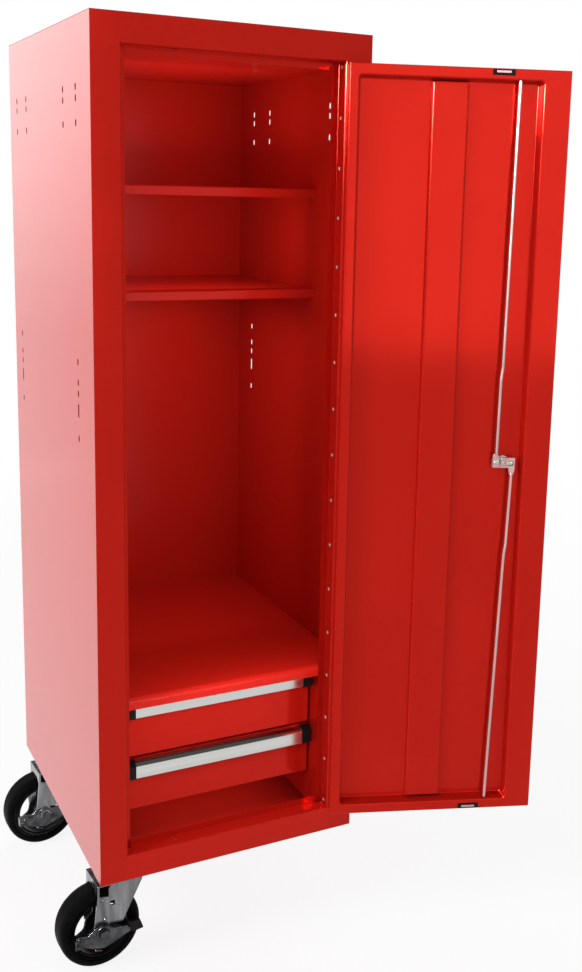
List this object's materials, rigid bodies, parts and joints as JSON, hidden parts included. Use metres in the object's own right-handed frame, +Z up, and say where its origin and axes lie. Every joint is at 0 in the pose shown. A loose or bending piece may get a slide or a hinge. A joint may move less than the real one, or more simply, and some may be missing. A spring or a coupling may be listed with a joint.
{
  "type": "tool chest side locker",
  "caption": "Tall red steel side locker with an open piano-hinged door, rod lock, shelves, drawers and braked casters on one side.",
  "frame": {"origin": "centre of the rear middle bolt slots on the outer face of the right side", "axes": "+X out of the right side, +Y towards the back, +Z up"},
  "size_m": [0.8256, 0.7067, 1.5775],
  "materials": {
    "red_paint": "gloss",
    "zinc": "satin",
    "chrome": "polished",
    "aluminium": "brushed",
    "black_plastic": "matte",
    "tyre_rubber": "matte",
    "wheel_core": "painted black"
  },
  "bodies": {
    "cabinet": {"side_panel_left": "red_paint", "side_panel_right": "red_paint", "back_panel": "red_paint", "top_panel": "red_paint", "ceiling_panel": "red_paint", "floor_pan": "red_paint", "stile_left": "red_paint", "stile_right": "red_paint", "rail_top": "red_paint", "rail_bottom": "red_paint", "shelf_upper": "red_paint", "shelf_lower": "red_paint", "bay_top": "red_paint", "bay_liners": "red_paint", "slides_fixed": "zinc", "hinge_leaf_frame": "red_paint", "hinge_pin": "zinc", "hinge_rivets": "zinc", "caster_plate_front": "zinc", "caster_plate_rear": "zinc", "caster_bolts": "zinc"},
    "door": {"door_skin": "red_paint", "door_inner_pan": "red_paint", "door_stiffener": "red_paint", "hinge_leaf_door": "red_paint", "magnet_cases": "black_plastic", "magnet_poles": "zinc", "lock_body": "chrome"},
    "lock": {"lock_handle": "chrome", "lock_core": "chrome", "lock_cam": "zinc"},
    "upper_rod": {"rod_upper": "zinc"},
    "lower_rod": {"rod_lower": "zinc"},
    "slide_lower": {"slide_middle_lower": "zinc"},
    "slide_upper": {"slide_middle_upper": "zinc"},
    "drawer_lower": {"drawer_front_lower": "red_paint", "drawer_tray_lower": "red_paint", "drawer_pull_lower": "aluminium", "pull_caps_lower": "black_plastic", "slide_inner_lower": "zinc"},
    "drawer_upper": {"drawer_front_upper": "red_paint", "drawer_tray_upper": "red_paint", "drawer_pull_upper": "aluminium", "pull_caps_upper": "black_plastic", "slide_inner_upper": "zinc"},
    "swivel_front": {"caster_head_front": "zinc", "caster_fork_front": "zinc", "caster_axle_front": "zinc"},
    "wheel_front": {"caster_wheel_front": "wheel_core", "caster_tyre_front": "tyre_rubber"},
    "brake_front": {"brake_lever_front": "zinc", "brake_pad_front": "black_plastic"},
    "swivel_rear": {"caster_head_rear": "zinc", "caster_fork_rear": "zinc", "caster_axle_rear": "zinc"},
    "wheel_rear": {"caster_wheel_rear": "wheel_core", "caster_tyre_rear": "tyre_rubber"},
    "brake_rear": {"brake_lever_rear": "zinc", "brake_pad_rear": "black_plastic"}
  },
  "joints": [
    {"name": "door_hinge", "type": "hinge", "parent": "cabinet", "child": "door", "pos_m": [-0.0485, -0.4855, -0.1075], "axis": [0, 0, 1], "range_deg": [-160, 12]},
    {"name": "lock_turn", "type": "hinge", "parent": "door", "child": "lock", "pos_m": [0.22153, -0.58857, -0.1135], "axis": [-0.342, -0.9397, 0], "range_deg": [-90, 0]},
    {"name": "upper_rod_slide", "type": "slide", "parent": "door", "child": "upper_rod", "axis": [0, 0, 1], "range_m": [0, 0.014]},
    {"name": "lower_rod_slide", "type": "slide", "parent": "door", "child": "lower_rod", "axis": [0, 0, -1], "range_m": [0, 0.014]},
    {"name": "drawer_lower_slide", "type": "slide", "parent": "cabinet", "child": "drawer_lower", "axis": [0, -1, 0], "range_m": [0, 0.4]},
    {"name": "runner_lower_slide", "type": "slide", "parent": "cabinet", "child": "slide_lower", "axis": [0, -1, 0], "range_m": [0, 0.2]},
    {"name": "drawer_upper_slide", "type": "slide", "parent": "cabinet", "child": "drawer_upper", "axis": [0, -1, 0], "range_m": [0, 0.4]},
    {"name": "runner_upper_slide", "type": "slide", "parent": "cabinet", "child": "slide_upper", "axis": [0, -1, 0], "range_m": [0, 0.2]},
    {"name": "swivel_front_turn", "type": "hinge", "parent": "cabinet", "child": "swivel_front", "pos_m": [-0.427, -0.418, -0.8075], "axis": [0, 0, 1], "continuous": true},
    {"name": "wheel_front_turn", "type": "hinge", "parent": "swivel_front", "child": "wheel_front", "pos_m": [-0.45895, -0.41984, -0.9135], "axis": [-0.0576, 0.9983, 0], "continuous": true},
    {"name": "brake_front_turn", "type": "hinge", "parent": "swivel_front", "child": "brake_front", "pos_m": [-0.45895, -0.41984, -0.9135], "axis": [-0.0576, 0.9983, 0], "range_deg": [0, 18]},
    {"name": "swivel_rear_turn", "type": "hinge", "parent": "cabinet", "child": "swivel_rear", "pos_m": [-0.427, 0.006, -0.8075], "axis": [0, 0, 1], "continuous": true},
    {"name": "wheel_rear_turn", "type": "hinge", "parent": "swivel_rear", "child": "wheel_rear", "pos_m": [-0.45895, 0.00416, -0.9135], "axis": [-0.0576, 0.9983, 0], "continuous": true},
    {"name": "brake_rear_turn", "type": "hinge", "parent": "swivel_rear", "child": "brake_rear", "pos_m": [-0.45895, 0.00416, -0.9135], "axis": [-0.0576, 0.9983, 0], "range_deg": [0, 18]}
  ],
  "couplings": [
    {"joint": "upper_rod_slide", "follows": "lock_turn", "m_per_rad": -0.0089127},
    {"joint": "lower_rod_slide", "follows": "lock_turn", "m_per_rad": -0.0089127},
    {"joint": "runner_lower_slide", "follows": "drawer_lower_slide", "ratio": 0.5},
    {"joint": "runner_upper_slide", "follows": "drawer_upper_slide", "ratio": 0.5}
  ]
}
